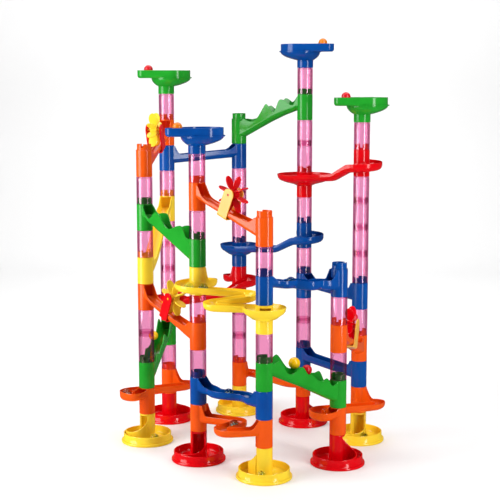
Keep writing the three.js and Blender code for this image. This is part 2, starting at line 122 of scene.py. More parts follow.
def flow_marks(nodes, links, shader, tones, roughness, bump):
    """Moulded plastic: faint flow clouds in the colour, a fine uneven gloss and a slight ripple."""
    place = nodes.new("ShaderNodeTexCoord")
    cloud = nodes.new("ShaderNodeTexNoise")
    cloud.inputs["Scale"].default_value = 22
    cloud.inputs["Detail"].default_value = 3
    ramp = nodes.new("ShaderNodeValToRGB")
    ramp.color_ramp.elements[0].position = 0.3
    ramp.color_ramp.elements[0].color = tones[0]
    ramp.color_ramp.elements[1].position = 0.7
    ramp.color_ramp.elements[1].color = tones[1]
    grain = nodes.new("ShaderNodeTexNoise")
    grain.inputs["Scale"].default_value = 160
    grain.inputs["Detail"].default_value = 2
    gloss = nodes.new("ShaderNodeMapRange")
    gloss.inputs["To Min"].default_value = roughness[0]
    gloss.inputs["To Max"].default_value = roughness[1]
    ripple = nodes.new("ShaderNodeBump")
    ripple.inputs["Strength"].default_value = bump
    ripple.inputs["Distance"].default_value = 0.0006
    links.new(place.outputs["Object"], cloud.inputs["Vector"])
    links.new(place.outputs["Object"], grain.inputs["Vector"])
    links.new(cloud.outputs["Fac"], ramp.inputs["Fac"])
    links.new(ramp.outputs["Color"], shader.inputs["Base Color"])
    links.new(grain.outputs["Fac"], gloss.inputs["Value"])
    links.new(gloss.outputs["Result"], shader.inputs["Roughness"])
    links.new(grain.outputs["Fac"], ripple.inputs["Height"])
    links.new(ripple.outputs["Normal"], shader.inputs["Normal"])


def plastic(name, light, dark, roughness=(0.10, 0.20), coat=0.18):
    material, nodes, links, shader = new_material(name)
    shader.inputs["IOR"].default_value = 1.5
    shader.inputs["Coat Weight"].default_value = coat
    shader.inputs["Specular IOR Level"].default_value = 0.35
    shader.inputs["Coat Roughness"].default_value = 0.04
    flow_marks(nodes, links, shader, (linear(dark), linear(light)), roughness, 0.05)
    return material


def clear_plastic(name, body, rim):
    """Tinted clear plastic: the tint deepens where the wall is seen edge on."""
    material, nodes, links, shader = new_material(name)
    flow_marks(nodes, links, shader, (linear("FFF4FA"), linear("FFFFFF")), (0.03, 0.08), 0.02)
    shader.inputs["Metallic"].default_value = 1.0
    facing = nodes.new("ShaderNodeLayerWeight")
    facing.inputs["Blend"].default_value = 0.35
    tint = nodes.new("ShaderNodeValToRGB")
    tint.color_ramp.elements[0].position = 0.25
    tint.color_ramp.elements[0].color = linear(body)
    tint.color_ramp.elements[1].position = 0.9
    tint.color_ramp.elements[1].color = linear(rim)
    through = nodes.new("ShaderNodeBsdfTransparent")
    fresnel = nodes.new("ShaderNodeFresnel")
    fresnel.inputs["IOR"].default_value = 1.6
    share = nodes.new("ShaderNodeMapRange")
    share.inputs["To Min"].default_value = 0.05
    share.inputs["To Max"].default_value = 0.30
    mix = nodes.new("ShaderNodeMixShader")
    output = nodes["Material Output"]
    links.new(facing.outputs["Facing"], tint.inputs["Fac"])
    links.new(tint.outputs["Color"], through.inputs["Color"])
    links.new(fresnel.outputs["Fac"], share.inputs["Value"])
    links.new(share.outputs["Result"], mix.inputs["Fac"])
    links.new(through.outputs["BSDF"], mix.inputs[1])
    links.new(shader.outputs["BSDF"], mix.inputs[2])
    links.new(mix.outputs["Shader"], output.inputs["Surface"])
    return material


# each plastic has an outer tone and a deeper copy of it for the insides: painted shade and painted
# bounce light where the insides light each other
COLOURS = {
    "orange": plastic("orange", "F45C10", "EC5208"),
    "orange_inside": plastic("orange_inside", "D8120E", "C80A10", (0.3, 0.42), 0),
    "green": plastic("green", "24A22C", "1A9424"),
    "green_inside": plastic("green_inside", "128E2C", "087C28", (0.28, 0.4), 0),
    "blue": plastic("blue", "004FA4", "004494"),
    "blue_inside": plastic("blue_inside", "043074", "032764", (0.28, 0.4), 0),
    "yellow": plastic("yellow", "FFDE3A", "FFD632"),
    "yellow_inside": plastic("yellow_inside", "FDB41C", "F6A614", (0.28, 0.4), 0),
    "red": plastic("red", "E60010", "D8000C"),
    "red_inside": plastic("red_inside", "C20816", "B00612", (0.28, 0.4), 0),
    "amber": plastic("amber", "FBC050", "F6B446"),
    "clear_pink": clear_plastic("clear_pink", "FDE0EF", "D45CA6"),
}


# a colour and its deeper copy, which is the painted shade for faces marked inside
def both(colour):
    return [COLOURS[colour], COLOURS.get(f"{colour}_inside", COLOURS[colour])]


# ---- solids: each is a temporary object in millimetres ----
# faces marked inside take a piece's second material where it has one: the deeper copy with painted
# shade
OUTSIDE, INSIDE = 0, 1


def solid(verts, faces, marks=None):
    mesh = bpy.data.meshes.new("solid")
    mesh.from_pydata([tuple(v) for v in verts], [], faces)
    if marks is not None:
        mesh.polygons.foreach_set("material_index", marks)
    work = bmesh.new()
    work.from_mesh(mesh)
    bmesh.ops.recalc_face_normals(work, faces=work.faces)
    work.to_mesh(mesh)
    work.free()
    item = bpy.data.objects.new("solid", mesh)
    bpy.context.scene.collection.objects.link(item)
    return item


def loft(rings, marks=OUTSIDE, closed=False):
    """A solid through rings of equal point count; marks gives one face mark, or one per side."""
    count = len(rings[0])
    verts = np.concatenate(rings)
    side_marks = [marks] * count if isinstance(marks, int) else marks
    faces, face_marks = [], []
    for i in range(len(rings) if closed else len(rings) - 1):
        a, b = i * count, ((i + 1) % len(rings)) * count
        for k in range(count):
            n = (k + 1) % count
            faces.append((a + k, a + n, b + n, b + k))
            face_marks.append(side_marks[k])
    if not closed:
        last = (len(rings) - 1) * count
        faces += [tuple(range(count))[::-1], tuple(range(last, last + count))]
        face_marks += [OUTSIDE, OUTSIDE]
    return solid(verts, faces, face_marks)


def turned(profile, at=(0, 0, 0), mark=OUTSIDE, sides=72):
    """A solid turned about +Z. Its [radius, height] points start and end on the axis or close."""
    profile = np.array(profile, float)
    open_ends = profile[0][0] < 1e-6
    body = profile[1:-1] if open_ends else profile
    angles = np.arange(sides) * 2 * math.pi / sides
    rings = [
        np.stack([r * np.cos(angles), r * np.sin(angles), np.full(sides, z)], axis=1) + at
        for r, z in body
    ]
    if not open_ends:
        return loft(rings, mark, closed=True)
    verts = np.concatenate(rings + [[np.add(at, (0, 0, profile[0][1]))],
                                    [np.add(at, (0, 0, profile[-1][1]))]])
    faces, marks = [], []
    for i in range(len(rings) - 1):
        a, b = i * sides, (i + 1) * sides
        for k in range(sides):
            n = (k + 1) % sides
            faces.append((a + k, a + n, b + n, b + k))
            marks.append(mark)
    first, last = len(rings) * sides, len(rings) * sides + 1
    top = (len(rings) - 1) * sides
    for k in range(sides):
        n = (k + 1) % sides
        faces += [(first, n, k), (last, top + k, top + n)]
        marks += [mark, mark]
    return solid(verts, faces, marks)


def rod(radius, z0, z1, at, mark=OUTSIDE, sides=72):
    return turned([[0, z0], [radius, z0], [radius, z1], [0, z1]], at, mark, sides)


def slab(low, high, turn=0, at=(0, 0, 0), mark=INSIDE):
    """A cutter with flat faces, turned about +Z at a point."""
    c, s = math.cos(turn), math.sin(turn)
    verts = [
        (at[0] + c * x - s * y, at[1] + s * x + c * y, at[2] + z)
        for x in (low[0], high[0]) for y in (low[1], high[1]) for z in (low[2], high[2])
    ]
    faces = [(0, 1, 3, 2), (4, 6, 7, 5), (0, 4, 5, 1), (2, 3, 7, 6), (0, 2, 6, 4), (1, 5, 7, 3)]
    return solid(verts, faces, [mark] * 6)


def combine(adds, cuts=(), rest=()):
    """One mesh: adds joined, cuts taken away, rest joined to that."""
    target = adds[0]
    for item in (*adds, *cuts, *rest):
        for _ in (OUTSIDE, INSIDE):
            item.data.materials.append(None)
    steps = [(item, "UNION") for item in adds[1:]]
    steps += [(item, "DIFFERENCE") for item in cuts]
    steps += [(item, "UNION") for item in rest]
    for item, operation in steps:
        step = target.modifiers.new("step", "BOOLEAN")
        step.operation = operation
        step.solver = "MANIFOLD"
        step.object = item
    graph = bpy.context.evaluated_depsgraph_get()
    mesh = bpy.data.meshes.new_from_object(target.evaluated_get(graph))
    for item in (*adds, *cuts, *rest):
        bpy.data.objects.remove(item)
    return mesh


def finish_piece(name, mesh, materials, body, nodes=(), crease=38):
    """Stores a mesh in metres as a named piece that rides on a body and stands for CAD nodes."""
    work = bmesh.new()
    work.from_mesh(mesh)
    bmesh.ops.remove_doubles(work, verts=work.verts, dist=0.002)
    bmesh.ops.dissolve_degenerate(work, edges=work.edges, dist=0.001)
    work.to_mesh(mesh)
    work.free()
    mesh.transform(Matrix.Scale(0.001, 4))
    mesh.materials.clear()
    for material in materials:
        mesh.materials.append(material)
    mesh.shade_smooth()
    mesh.set_sharp_from_angle(angle=math.radians(crease))
    mesh.name = name
    piece = bpy.data.objects.new(name, mesh)
    bpy.context.scene.collection.objects.link(piece)
    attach(piece, body)
    if nodes:
        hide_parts(*nodes)
    return piece


# ---- routes ----


def arc(s, n, radius, start, end, end_radius=None):
    end_radius = radius if end_radius is None else end_radius
    count = max(2, int(abs(end - start) / 8))
    share = np.linspace(0, 1, count)
    a = np.radians(start + (end - start) * share)
    r = radius + (end_radius - radius) * share
    return [(s + rr * math.cos(aa), n + rr * math.sin(aa)) for rr, aa in zip(r, a)]


def blur(values, sigma, step):
    """Gaussian smoothing of a list of numbers or points that keeps its two ends."""
    values = np.array(values, float)
    reach = max(1, int(3 * sigma / step))
    reach = min(reach, len(values) - 1)
    before = 2 * values[0] - values[reach:0:-1]
    after = 2 * values[-1] - values[-2:-reach - 2:-1]
    padded = np.concatenate([before, values, after])
    kernel = np.exp(-0.5 * (np.arange(-reach, reach + 1) * step / sigma) ** 2)
    kernel /= kernel.sum()
    if values.ndim == 1:
        return np.convolve(padded, kernel, "valid")
    return np.stack([np.convolve(padded[:, k], kernel, "valid") for k in range(values.shape[1])], 1)


STEP = 1.5


def smooth_route(points, sigma):
    points = np.array(points, float)
    lengths = np.concatenate([[0], np.cumsum(np.linalg.norm(np.diff(points, axis=0), axis=1))])
    d = np.linspace(0, lengths[-1], int(round(lengths[-1] / STEP)) + 1)
    path = np.stack([np.interp(d, lengths, points[:, k]) for k in (0, 1)], axis=1)
    if sigma:
        path = blur(path, sigma, STEP)
    gaps = np.linalg.norm(np.diff(path, axis=0), axis=1)
    return path, np.concatenate([[0], np.cumsum(gaps)])


def weave(waves, width, first=20, last=118):
    points = [(0, 0), (first * 0.6, 0)]
    for s in np.linspace(first, last, 60):
        phase = (s - first) / (last - first)
        fade = min(1, 4 * phase, 4 * (1 - phase))
        points.append((s, -width * fade * math.sin(2 * math.pi * waves * phase)))
    return points + [(SPAN - 8, 0), (SPAN, 0)]


def table(marks, x):
    marks = np.array(marks, float)
    return np.interp(x, marks[:, 0], marks[:, 1])


# ---- chutes ----
# Heights are over the foot of the outlet section. A table gives [share of the route, height]; a
# straight style's table gives [distance from the inlet column, height]. The walls rise to the
# section's top over the length "mouth" at the inlet and "hood" at the outlet. "sigma" is how far
# the corners of a route are smoothed, and "dish" the radius of a dish round the outlet.
STYLES = {
    "windmill": dict(
        drop=1, straight=True,
        bottom=[(0, 66), (27, 55), (126, 14), (138, 9)],
        near=[(0, 89), (7, 89), (10, 86.5), (13, 79), (17, 71), (21, 67), (26, 64), (49, 56),
              (84, 44), (110, 37), (117, 36.5), (120, 38), (123, 41), (126, 44), (138, 44)],
    ),
    "wave_c": dict(
        drop=1, straight=True,
        bottom=[(0, 70), (9, 68), (65, 42), (115, 16), (138, 5)],
        near=[(0, 89.5), (9, 89), (12, 86), (16, 90), (21, 92), (25, 88), (32, 74), (39, 67),
              (46, 67), (53, 71), (61, 77), (66, 76), (71, 66), (75, 61), (82, 62), (88, 55),
              (97, 48), (103, 49), (109, 54), (113, 51), (117, 40), (121, 37), (126, 41),
              (131, 44), (138, 44)],
        far=[(0, 89), (9, 88), (15, 86), (21, 93), (29, 98), (35, 90), (46, 74), (55, 70),
             (63, 76), (70, 72), (78, 62), (88, 60), (100, 58), (109, 62), (114, 50), (121, 34),
             (125, 42), (138, 44)],
    ),
    "wave_a": dict(
        drop=1, straight=True,
        bottom=[(0, 70), (9, 66), (40, 50), (70, 36), (120, 12), (138, 4)],
        near=[(0, 89.5), (8, 89), (11, 82), (17, 71), (25, 66), (31, 71), (39, 79), (48, 80),
              (55, 74), (66, 60), (76, 55), (85, 56.5), (98, 62), (110, 64), (117, 56), (121, 44),
              (126, 44), (138, 44)],
        far=[(0, 89), (10, 88), (16, 80), (24, 74), (32, 76), (40, 77), (50, 76), (58, 56),
             (68, 52), (80, 56), (95, 61), (108, 62), (118, 50), (126, 44), (138, 44)],
    ),
    "wave_f": dict(
        drop=1, straight=True,
        bottom=[(0, 68), (14, 62), (40, 53), (70, 40), (124, 13), (138, 6)],
        near=[(0, 89.5), (9, 89), (13, 80), (17, 70), (24, 71), (33, 77), (41, 81), (48, 80),
              (54, 62), (59, 56), (66, 64), (74, 75), (82, 62), (92, 47), (103, 40), (112, 41),
              (122, 46), (127, 40), (138, 40)],
        far=[(0, 89.5), (9, 89), (13, 84), (17, 90), (22, 86), (30, 74), (38, 80), (46, 84),
             (56, 70), (66, 62), (76, 70), (84, 66), (95, 52), (106, 46), (116, 44), (126, 45),
             (138, 44)],
    ),
    "level": dict(
        drop=0, straight=True, mouth=15, hood=12,
        bottom=[(0, 22), (14, 20), (124, 13), (138, 12)], near=[(0, 36), (138, 27)],
    ),
    "slide": dict(
        drop=2, straight=True, mouth=14, hood=14,
        bottom=[(0, 112), (14, 106), (30, 97), (44, 84), (70, 56), (94, 32), (110, 22),
                (124, 14), (138, 10)],
        near=[(0, 130), (14, 122), (30, 114), (44, 103), (70, 76), (94, 52), (110, 41),
              (124, 34), (138, 34)],
    ),
    "bend": dict(
        drop=0, route=weave(1, 8), sigma=3, mouth=15, hood=10,
        bottom=[(0, 19), (1, 16)], near=[(0, 33), (0.5, 31), (1, 30)],
    ),
    "snake": dict(
        drop=0, route=weave(2, 7), sigma=3, mouth=15, hood=10,
        bottom=[(0, 27), (0.5, 17), (1, 10)], near=[(0, 38), (0.5, 32), (1, 27)],
    ),
    "zigzag": dict(
        drop=0, sigma=2.5, mouth=13, hood=8,
        route=[(0, 0), (12, 12), *arc(47, 29, 13, 135, -10), *arc(68, -4, 12, 170, 280),
               (118, -5), (SPAN, 0)],
        bottom=[(0, 18), (0.15, 17), (1, 13)], near=[(0, 30), (0.2, 29), (1, 27)],
    ),
    "level_loops": dict(
        drop=0, sigma=5, mouth=8, hood=13,
        route=[(0, 0), *arc(0, 0, 30, 150, 115, 36), *arc(0, 0, 36, 108, 60),
               *arc(SPAN, 0, 36, -120, -80), (SPAN, 0)],
        bottom=[(0, 28), (0.15, 25), (0.8, 9), (1, 8)],
        near=[(0, 41), (0.2, 40), (0.8, 21), (1, 20)],
    ),
    "step_loops_wide": dict(
        drop=1, sigma=4, mouth=6, dish=48,
        route=[(0, 0), *arc(0, 0, 24, -50, -250), (34, 27), (58, 31), (96, 32), (120, 33)],
        bottom=[(0, 62), (0.1, 58), (0.5, 52), (0.64, 36), (1, 29)],
        near=[(0, 74), (0.1, 72), (0.5, 66), (0.64, 48), (1, 41)],
    ),
    "step_loops": dict(
        drop=1, sigma=4, mouth=6, dish=35,
        route=[(0, 0), *arc(0, 0, 24, -50, -250), (34, 27), (58, 28), (96, 24), (126, 22)],
        bottom=[(0, 62), (0.1, 58), (0.5, 52), (0.64, 36), (1, 29)],
        near=[(0, 74), (0.1, 72), (0.5, 66), (0.64, 48), (1, 41)],
    ),
    "lanes": dict(
        drop=1, sigma=2.5, mouth=6, dish=34,
        route=[(0, 0), *arc(0, 0, 26, 73, 295), *arc(79, 21, 12, 133, -47),
               *arc(65, -26, 12, 133, 313), (118, 20)],
        bottom=[(0, 56), (0.07, 54), (0.35, 49), (0.55, 42), (0.75, 32), (1, 26)],
        near=[(0, 70), (0.07, 67), (0.35, 61), (0.55, 54), (0.75, 44), (1, 38)],
    ),
}

# [name, style, inlet column, outlet column, outlet level, colour]
CHUTES = [
    ("wave_chute_f_g", "wave_f", "F", "G", 10, "green"),
    ("level_chute_g_h", "level", "G", "H", 9, "blue"),
    ("windmill_chute_h_a", "windmill", "H", "A", 9, "orange"),
    ("wave_chute_a_b", "wave_a", "A", "B", 6, "green"),
    ("slide_chute_h_a", "slide", "H", "A", 5, "yellow"),
    ("windmill_chute_a_b", "windmill", "A", "B", 3, "orange"),
    ("lane_chute_b_c", "lanes", "B", "C", 4, "yellow"),
    ("windmill_chute_b_c", "windmill", "B", "C", 7, "orange"),
    ("step_loop_chute_e_f", "step_loops_wide", "E", "F", 8, "red"),
    ("step_loop_chute_f_g", "step_loops", "F", "G", 5, "blue"),
    ("snake_chute_c_d", "snake", "C", "D", 5, "blue"),
    ("level_chute_f_e_upper", "level", "F", "E", 4, "blue"),
    ("windmill_chute_d_e", "windmill", "D", "E", 2, "orange"),
    ("wave_chute_c_d", "wave_c", "C", "D", 1, "green"),
    ("level_chute_f_e_lower", "level", "F", "E", 1, "blue"),
    ("loop_chute_d_e", "level_loops", "D", "E", 0, "orange"),
    ("loop_chute_f_g", "level_loops", "F", "G", 0, "orange"),
    ("bend_chute_b_c", "bend", "B", "C", 1, "blue"),
    ("zigzag_chute_c_b", "zigzag", "C", "B", 0, "orange"),
    ("step_loop_chute_g_h", "step_loops", "G", "H", 3, "red"),
    ("wave_chute_h_a", "wave_c", "H", "A", 1, "green"),
    ("loop_chute_a_h", "level_loops", "A", "H", 0, "orange"),
]


FLOOR_SOFTNESS = 3
RIM_SOFTNESS = 2.4
END_REACH = 40  # length of route that counts as near its end
SECTION_REACH = 17  # distance from a column within which its section is opened
FAR_AWAY = 99


class Run:
    """Where a chute lies: its route in plan, and the heights along it."""

    def __init__(self, style, start, end, level):
        self.style = style
        self.start, self.end = COLUMN[start], COLUMN[end]
        along = self.end - self.start
        self.along = along / np.linalg.norm(along)
        self.left = np.array([-self.along[1], self.along[0]])
        self.foot = level_z(level)
        self.inlet_foot = self.foot + style["drop"] * MODULE
        points = style.get("route", [(0, 0), (SPAN, 0)])
        path, self.d = smooth_route(points, style.get("sigma", 0))
        self.path = self.start + path[:, :1] * self.along + path[:, 1:] * self.left
        total = self.d[-1]
        x = path[:, 0] if style.get("straight") else self.d / total
        self.bottom = blur(table(style["bottom"], x), FLOOR_SOFTNESS, STEP) + self.foot
        self.near = blur(table(style["near"], x), RIM_SOFTNESS, STEP) + self.foot
        far = style.get("far", style["near"])
        self.far = blur(table(far, x), RIM_SOFTNESS, STEP) + self.foot
        out = np.linalg.norm(self.path - self.start, axis=1)
        close = np.linalg.norm(self.path - self.end, axis=1)
        first_half = self.d < total / 2
        out = np.where(first_half & (self.d < END_REACH), out, FAR_AWAY)
        close = np.where(first_half, FAR_AWAY, close)
        if "mouth" in style:
            self.raise_walls(self.inlet_foot + MODULE - 0.6, (out - 9) / style["mouth"])
        if "hood" in style:
            self.raise_walls(self.foot + MODULE - 1.5, (close - 12) / style["hood"])
        # the near wall is the one on the side that faces the camera, at lower Y
        tangent = np.gradient(self.path, axis=0)
        tangent /= np.linalg.norm(tangent, axis=1)[:, None]
        self.side = np.stack([-tangent[:, 1], tangent[:, 0]], axis=1)
        self.near_is_left = self.left[1] < 0

    def raise_walls(self, top, share):
        """Lifts both walls: up to the top where the share is 0 or less, not at all from 1 on."""
        rise = 1 - np.sin(np.clip(share, 0, 1) * math.pi / 2)
        self.near = self.near + np.maximum(top - self.near, 0) * rise
        self.far = self.far + np.maximum(top - self.far, 0) * rise

    def place(self, s, n, z):
        """The point s along the line between the columns, n to its left and z over the foot."""
        x, y = self.start + s * self.along + n * self.left
        return (x, y, self.foot + z)

    def at(self, share):
        """(x, y, floor height) at a share of the route."""
        d = share * self.d[-1]
        return np.array([
            np.interp(d, self.d, self.path[:, 0]),
            np.interp(d, self.d, self.path[:, 1]),
            np.interp(d, self.d, self.bottom) + SOLE,
        ])


BEND_POINTS = 9


def u_section(bottom, floor, left_top, right_top):
    """Corners [side, height] of a channel's cross section, and whether each edge is inside."""
    quarter = np.linspace(0, math.pi / 2, BEND_POINTS)
    width = HALF - WALL
    corners, inside = [], []

    def add(side, height, is_inside):
        corners.append((side, height))
        inside.append(INSIDE if is_inside else OUTSIDE)

    def rim(sign, top):
        reach = HALF + 0.02
        points = [
            (HALF, top - 2.6, False), (reach, top - 2.0, False), (reach, top - 0.5, False),
            (reach - 0.4, top, False), (width + 0.4, top, True), (width, top - 0.5, True),
        ]
        return [(sign * s, z, i) for s, z, i in points]

    deep = min(8.5, min(left_top, right_top) - 3.2 - bottom)
    deep_in = min(8.0, min(left_top, right_top) - 1.2 - floor)
    outer = [(HALF * math.sin(a) ** 0.8, bottom + deep * (1 - math.cos(a))) for a in quarter]
    inner = [(width * math.sin(a) ** 0.8, floor + deep_in * (1 - math.cos(a))) for a in quarter]
    for s, z in outer:
        add(s, z, False)
    for s, z, i in rim(1, left_top):
        add(s, z, i)
    for s, z in inner[::-1]:
        add(s, z, True)
    for s, z in inner[1:]:
        add(-s, z, True)
    for s, z, i in rim(-1, right_top)[::-1]:
        add(s, z, i)
    for s, z in outer[:0:-1]:
        add(-s, z, False)
    return np.array(corners), inside


def place_ring(run, i, corners):
    plan = run.path[i] + corners[:, :1] * run.side[i]
    return np.column_stack([plan, corners[:, 1]])


def channel(run):
    rings = []
    marks = None
    for i in range(len(run.path)):
        left, right = run.near[i], run.far[i]
        if not run.near_is_left:
            left, right = right, left
        floor = run.bottom[i] + SOLE
        corners, marks = u_section(run.bottom[i], floor, left, right)
        rings.append(place_ring(run, i, corners))
    # an edge's face is inside when both of its corners are
    edge_marks = [marks[k] and marks[(k + 1) % len(marks)] for k in range(len(marks))]
    return loft(rings, edge_marks)


def channel_void(run, indices, top):
    """The space inside a channel between stations, up to a height given for each station."""
    rings = []
    width = HALF - WALL
    for i in indices:
        floor = run.bottom[i] + SOLE
        quarter = np.linspace(0, math.pi / 2, BEND_POINTS)
        half = [(width * math.sin(a) ** 0.8, floor + 8 * (1 - math.cos(a))) for a in quarter]
        ceiling = max(top(i), floor + 10)
        corners = [*half, (width, ceiling), (-width, ceiling)]
        corners += [(-s, z) for s, z in half[:0:-1]]
        rings.append(place_ring(run, i, np.array(corners)))
    return loft(rings, INSIDE)


def spigot(z, at):
    """A ring on top of a section."""
    return turned([
        [SPIGOT_R - 1.2, z - 1.5], [SPIGOT_R, z - 1.5], [SPIGOT_R, z + SPIGOT_H - 0.8],
        [SPIGOT_R - 0.4, z + SPIGOT_H], [SPIGOT_R - 1.0, z + SPIGOT_H],
        [SPIGOT_R - 1.2, z + SPIGOT_H - 0.4],
    ], (*at, 0))


DISH_WINDOW_TURN = 2.4  # radians from the inlet's side to a dish's window into the column
INLET_NOTCH, OUTLET_NOTCH = 1.0, 5.5  # height of a spigot's wall left under its notch


def spigot_notches(z, at, heading, depth):
    """Cutters for a wide notch on the channel's side of a spigot and a narrow one opposite."""
    place = (*at, z)
    return [
        slab((4, -6.5, depth), (20, 6.5, 20), heading, place, OUTSIDE),
        slab((-20, -2.2, 3.5), (-4, 2.2, 20), heading, place, OUTSIDE),
    ]


def section_shell(foot, at):
    top = foot + MODULE - GAP
    return turned([
        [0, foot + GAP / 2], [TUBE_R - 0.4, foot + GAP / 2], [TUBE_R, foot + 0.6],
        [TUBE_R, top - 0.5], [TUBE_R - 0.4, top], [0, top],
    ], (*at, 0))


def heading_of(run, first):
    """Direction in plan of the channel where it leaves the inlet or reaches the outlet."""
    centre = run.start if first else run.end
    distance = np.linalg.norm(run.path - centre, axis=1)
    picks = np.where((distance > 12) & (distance < 20))[0]
    pick = picks[0] if first else picks[-1]
    dx, dy = run.path[pick] - centre
    return math.atan2(dy, dx)


def make_chute(name, style_name, start, end, level, colour):
    style = STYLES[style_name]
    run = Run(style, start, end, level)
    inlet, outlet = run.inlet_foot, run.foot
    at_in, at_out = run.start, run.end
    top_in, top_out = inlet + MODULE, outlet + MODULE
    adds = [section_shell(inlet, at_in), section_shell(outlet, at_out), channel(run)]
    count = len(run.path)
    from_start = np.linalg.norm(run.path - at_in, axis=1)
    from_end = np.linalg.norm(run.path - at_out, axis=1)
    first = [i for i in range(count) if run.d[i] < END_REACH and from_start[i] < SECTION_REACH]
    chamber = max(run.bottom[0] + SOLE, inlet + WEB)
    cuts = [
        rod(SOCKET_R, inlet - 1, inlet + SPIGOT_H + 0.8, (*at_in, 0), INSIDE),
        rod(BORE_R, chamber, top_in + 1, (*at_in, 0), INSIDE),
        channel_void(run, first, lambda i: top_in + 1),
        rod(SOCKET_R, outlet - 1, outlet + SPIGOT_H + 0.8, (*at_out, 0), INSIDE),
        rod(BORE_R, outlet, top_out + 1, (*at_out, 0), INSIDE),
    ]
    if "dish" in style:
        radius = style["dish"]
        floor, rim = outlet + 26.5, outlet + 41
        shell = [
            [0, outlet + 20], [TUBE_R, outlet + 20.5], [TUBE_R + 6, outlet + 23],
            [radius * 0.72, outlet + 27], [radius - 4.5, outlet + 30.5],
            [radius - 1.2, outlet + 34.5], [radius, rim - 0.6], [radius - 0.5, rim], [0, rim],
        ]
        adds.append(turned(shell, (*at_out, 0), sides=96))
        hollow = [
            [TUBE_R, floor], [radius * 0.7, outlet + 29.5], [radius - 6, outlet + 32.5],
            [radius - 3, outlet + 35.5], [radius - 1.9, rim - 0.6], [radius - 1.4, rim + 0.5],
            [radius - 1.4, rim + 30], [TUBE_R, rim + 30],
        ]
        cuts.append(turned(hollow, (*at_out, 0), INSIDE, sides=96))
        entry = [i for i in range(count) if run.d[i] > run.d[-1] / 2 and from_end[i] < radius + 9]
        cuts.append(channel_void(run, entry, lambda i: run.near[i] + 6))
        out_heading = math.atan2(*(at_in - at_out)[::-1]) + DISH_WINDOW_TURN
        cuts.append(slab((6, -8.5, 26.5), (20, 8.5, 41), out_heading, (*at_out, outlet)))
    else:
        last = [i for i in range(count) if run.d[i] > run.d[-1] - END_REACH
                and from_end[i] < SECTION_REACH]
        cuts.append(channel_void(run, last, lambda i: run.bottom[i] + SOLE + 18))
        out_heading = heading_of(run, False)
    in_heading = heading_of(run, True)
    body = combine(adds, cuts, [spigot(top_in, at_in), spigot(top_out, at_out)])
    # the notches come last, through the spigots only
    holder = bpy.data.objects.new("solid", body)
    bpy.context.scene.collection.objects.link(holder)
    notches = spigot_notches(top_in, at_in, in_heading, INLET_NOTCH)
    notches += spigot_notches(top_out, at_out, out_heading, OUTLET_NOTCH)
    mesh = combine([holder], notches)
    finish_piece(name, mesh, both(colour), "run", [name])
    return run


runs = {}
for chute in CHUTES:
    runs[chute[0]] = make_chute(*chute)

# ---- clear tubes ----
# [column, lowest level, highest level]: each of these runs is one solid in the frame
TUBE_RUNS = [
    ("A", 2, 3), ("A", 6, 6), ("B", 4, 4), ("B", 7, 7), ("D", 2, 2), ("E", 5, 8), ("F", 2, 3),
    ("F", 5, 5), ("F", 9, 10), ("G", 1, 3), ("G", 6, 8), ("H", 1, 1), ("H", 4, 6),
]
# a lone tube under an outlet or a bowl is one solid with it in the frame
LONE_TUBES = {
    ("A", 8): "windmill_chute_h_a", ("B", 2): "windmill_chute_a_b", ("B", 9): "bowl_b",
    ("C", 3): "lane_chute_b_c", ("C", 6): "windmill_chute_b_c", ("D", 4): "snake_chute_c_d",
    ("E", 3): "level_chute_f_e_upper", ("E", 10): "bowl_e", ("F", 7): "step_loop_chute_e_f",
    ("F", 12): "bowl_f", ("H", 8): "level_chute_g_h", ("H", 11): "bowl_h",
}


def tube_mesh():
    """One clear tube section with its foot at z 0 on the column axis."""
    top = MODULE - GAP
    wall = turned([
        [SOCKET_R + 0.2, GAP / 2], [TUBE_R - 0.3, GAP / 2], [TUBE_R, 0.5], [TUBE_R, top - 0.6],
        [TUBE_R - 0.3, top - 0.2], [SPIGOT_R, top], [SPIGOT_R, top + SPIGOT_H - 0.6],
        [SPIGOT_R - 0.4, top + SPIGOT_H], [BORE_R, top + SPIGOT_H], [BORE_R, top - 1.2],
        [SOCKET_R, top - 2.6], [SOCKET_R, GAP / 2 + 0.3],
    ])
    holder = wall.data
    bpy.data.objects.remove(wall)
    return holder


def make_tube(column, level, node):
    mesh = tube_mesh()
    mesh.transform(Matrix.Translation((*COLUMN[column], level_z(level))))
    finish_piece(f"tube_{column.lower()}_{level}", mesh, [COLOURS["clear_pink"]], "run",
                 [node], crease=30)


for column, lowest, highest in TUBE_RUNS:
    for level in range(lowest, highest + 1):
        make_tube(column, level, f"clear_tube_{column.lower()}_{lowest}")
for (column, level), node in LONE_TUBES.items():
    make_tube(column, level, node)

# ---- bowls ----
DISH_R = 34
NECK_R = 13.9
NECK_H = 13
FUNNEL_TOP = 27
BOWL_H = 41
FLANGE = 2.5  # how far the ledge under the wall stands out past the dish
REACH = 57  # from the dish's middle to the end of the feed trough
# [column, level, side that the feed trough points to along X, colour, ball's colour]
BOWLS = [("H", 12, -1, "green", "red"), ("B", 10, -1, "blue", "amber"),
         ("E", 11, -1, "green", "red"), ("F", 13, 1, "blue", "orange")]
BALLS = {
    "red": plastic("ball_red", "D81220", "C40E1C", (0.16, 0.26)),
    "amber": plastic("ball_amber", "F08A1C", "E87C12", (0.16, 0.26)),
    "orange": plastic("ball_orange", "F28A1E", "EA7D14", (0.16, 0.26)),
    "yellow": plastic("ball_yellow", "FFD21E", "F7C50C", (0.12, 0.2)),
}


def disc_ring(centre, radius, z, sides=72):
    a = np.arange(sides) * 2 * math.pi / sides
    return np.stack([
        centre[0] + radius * np.cos(a), centre[1] + radius * np.sin(a), np.full(sides, z),
    ], axis=1)


def trough_ring(start, z, narrow=0.0):
    """A straight-sided slot in plan, closed by half a circle at its far end."""
    half = HALF - narrow
    a = np.linspace(-math.pi / 2, math.pi / 2, 24)
    tip = REACH - half - narrow
    x = np.concatenate([[start], tip + half * np.cos(a), [start]])
    y = np.concatenate([[-half], half * np.sin(a), [half]]) - (DISH_R - HALF)
    return np.stack([x, y, np.full(len(x), z)], axis=1)


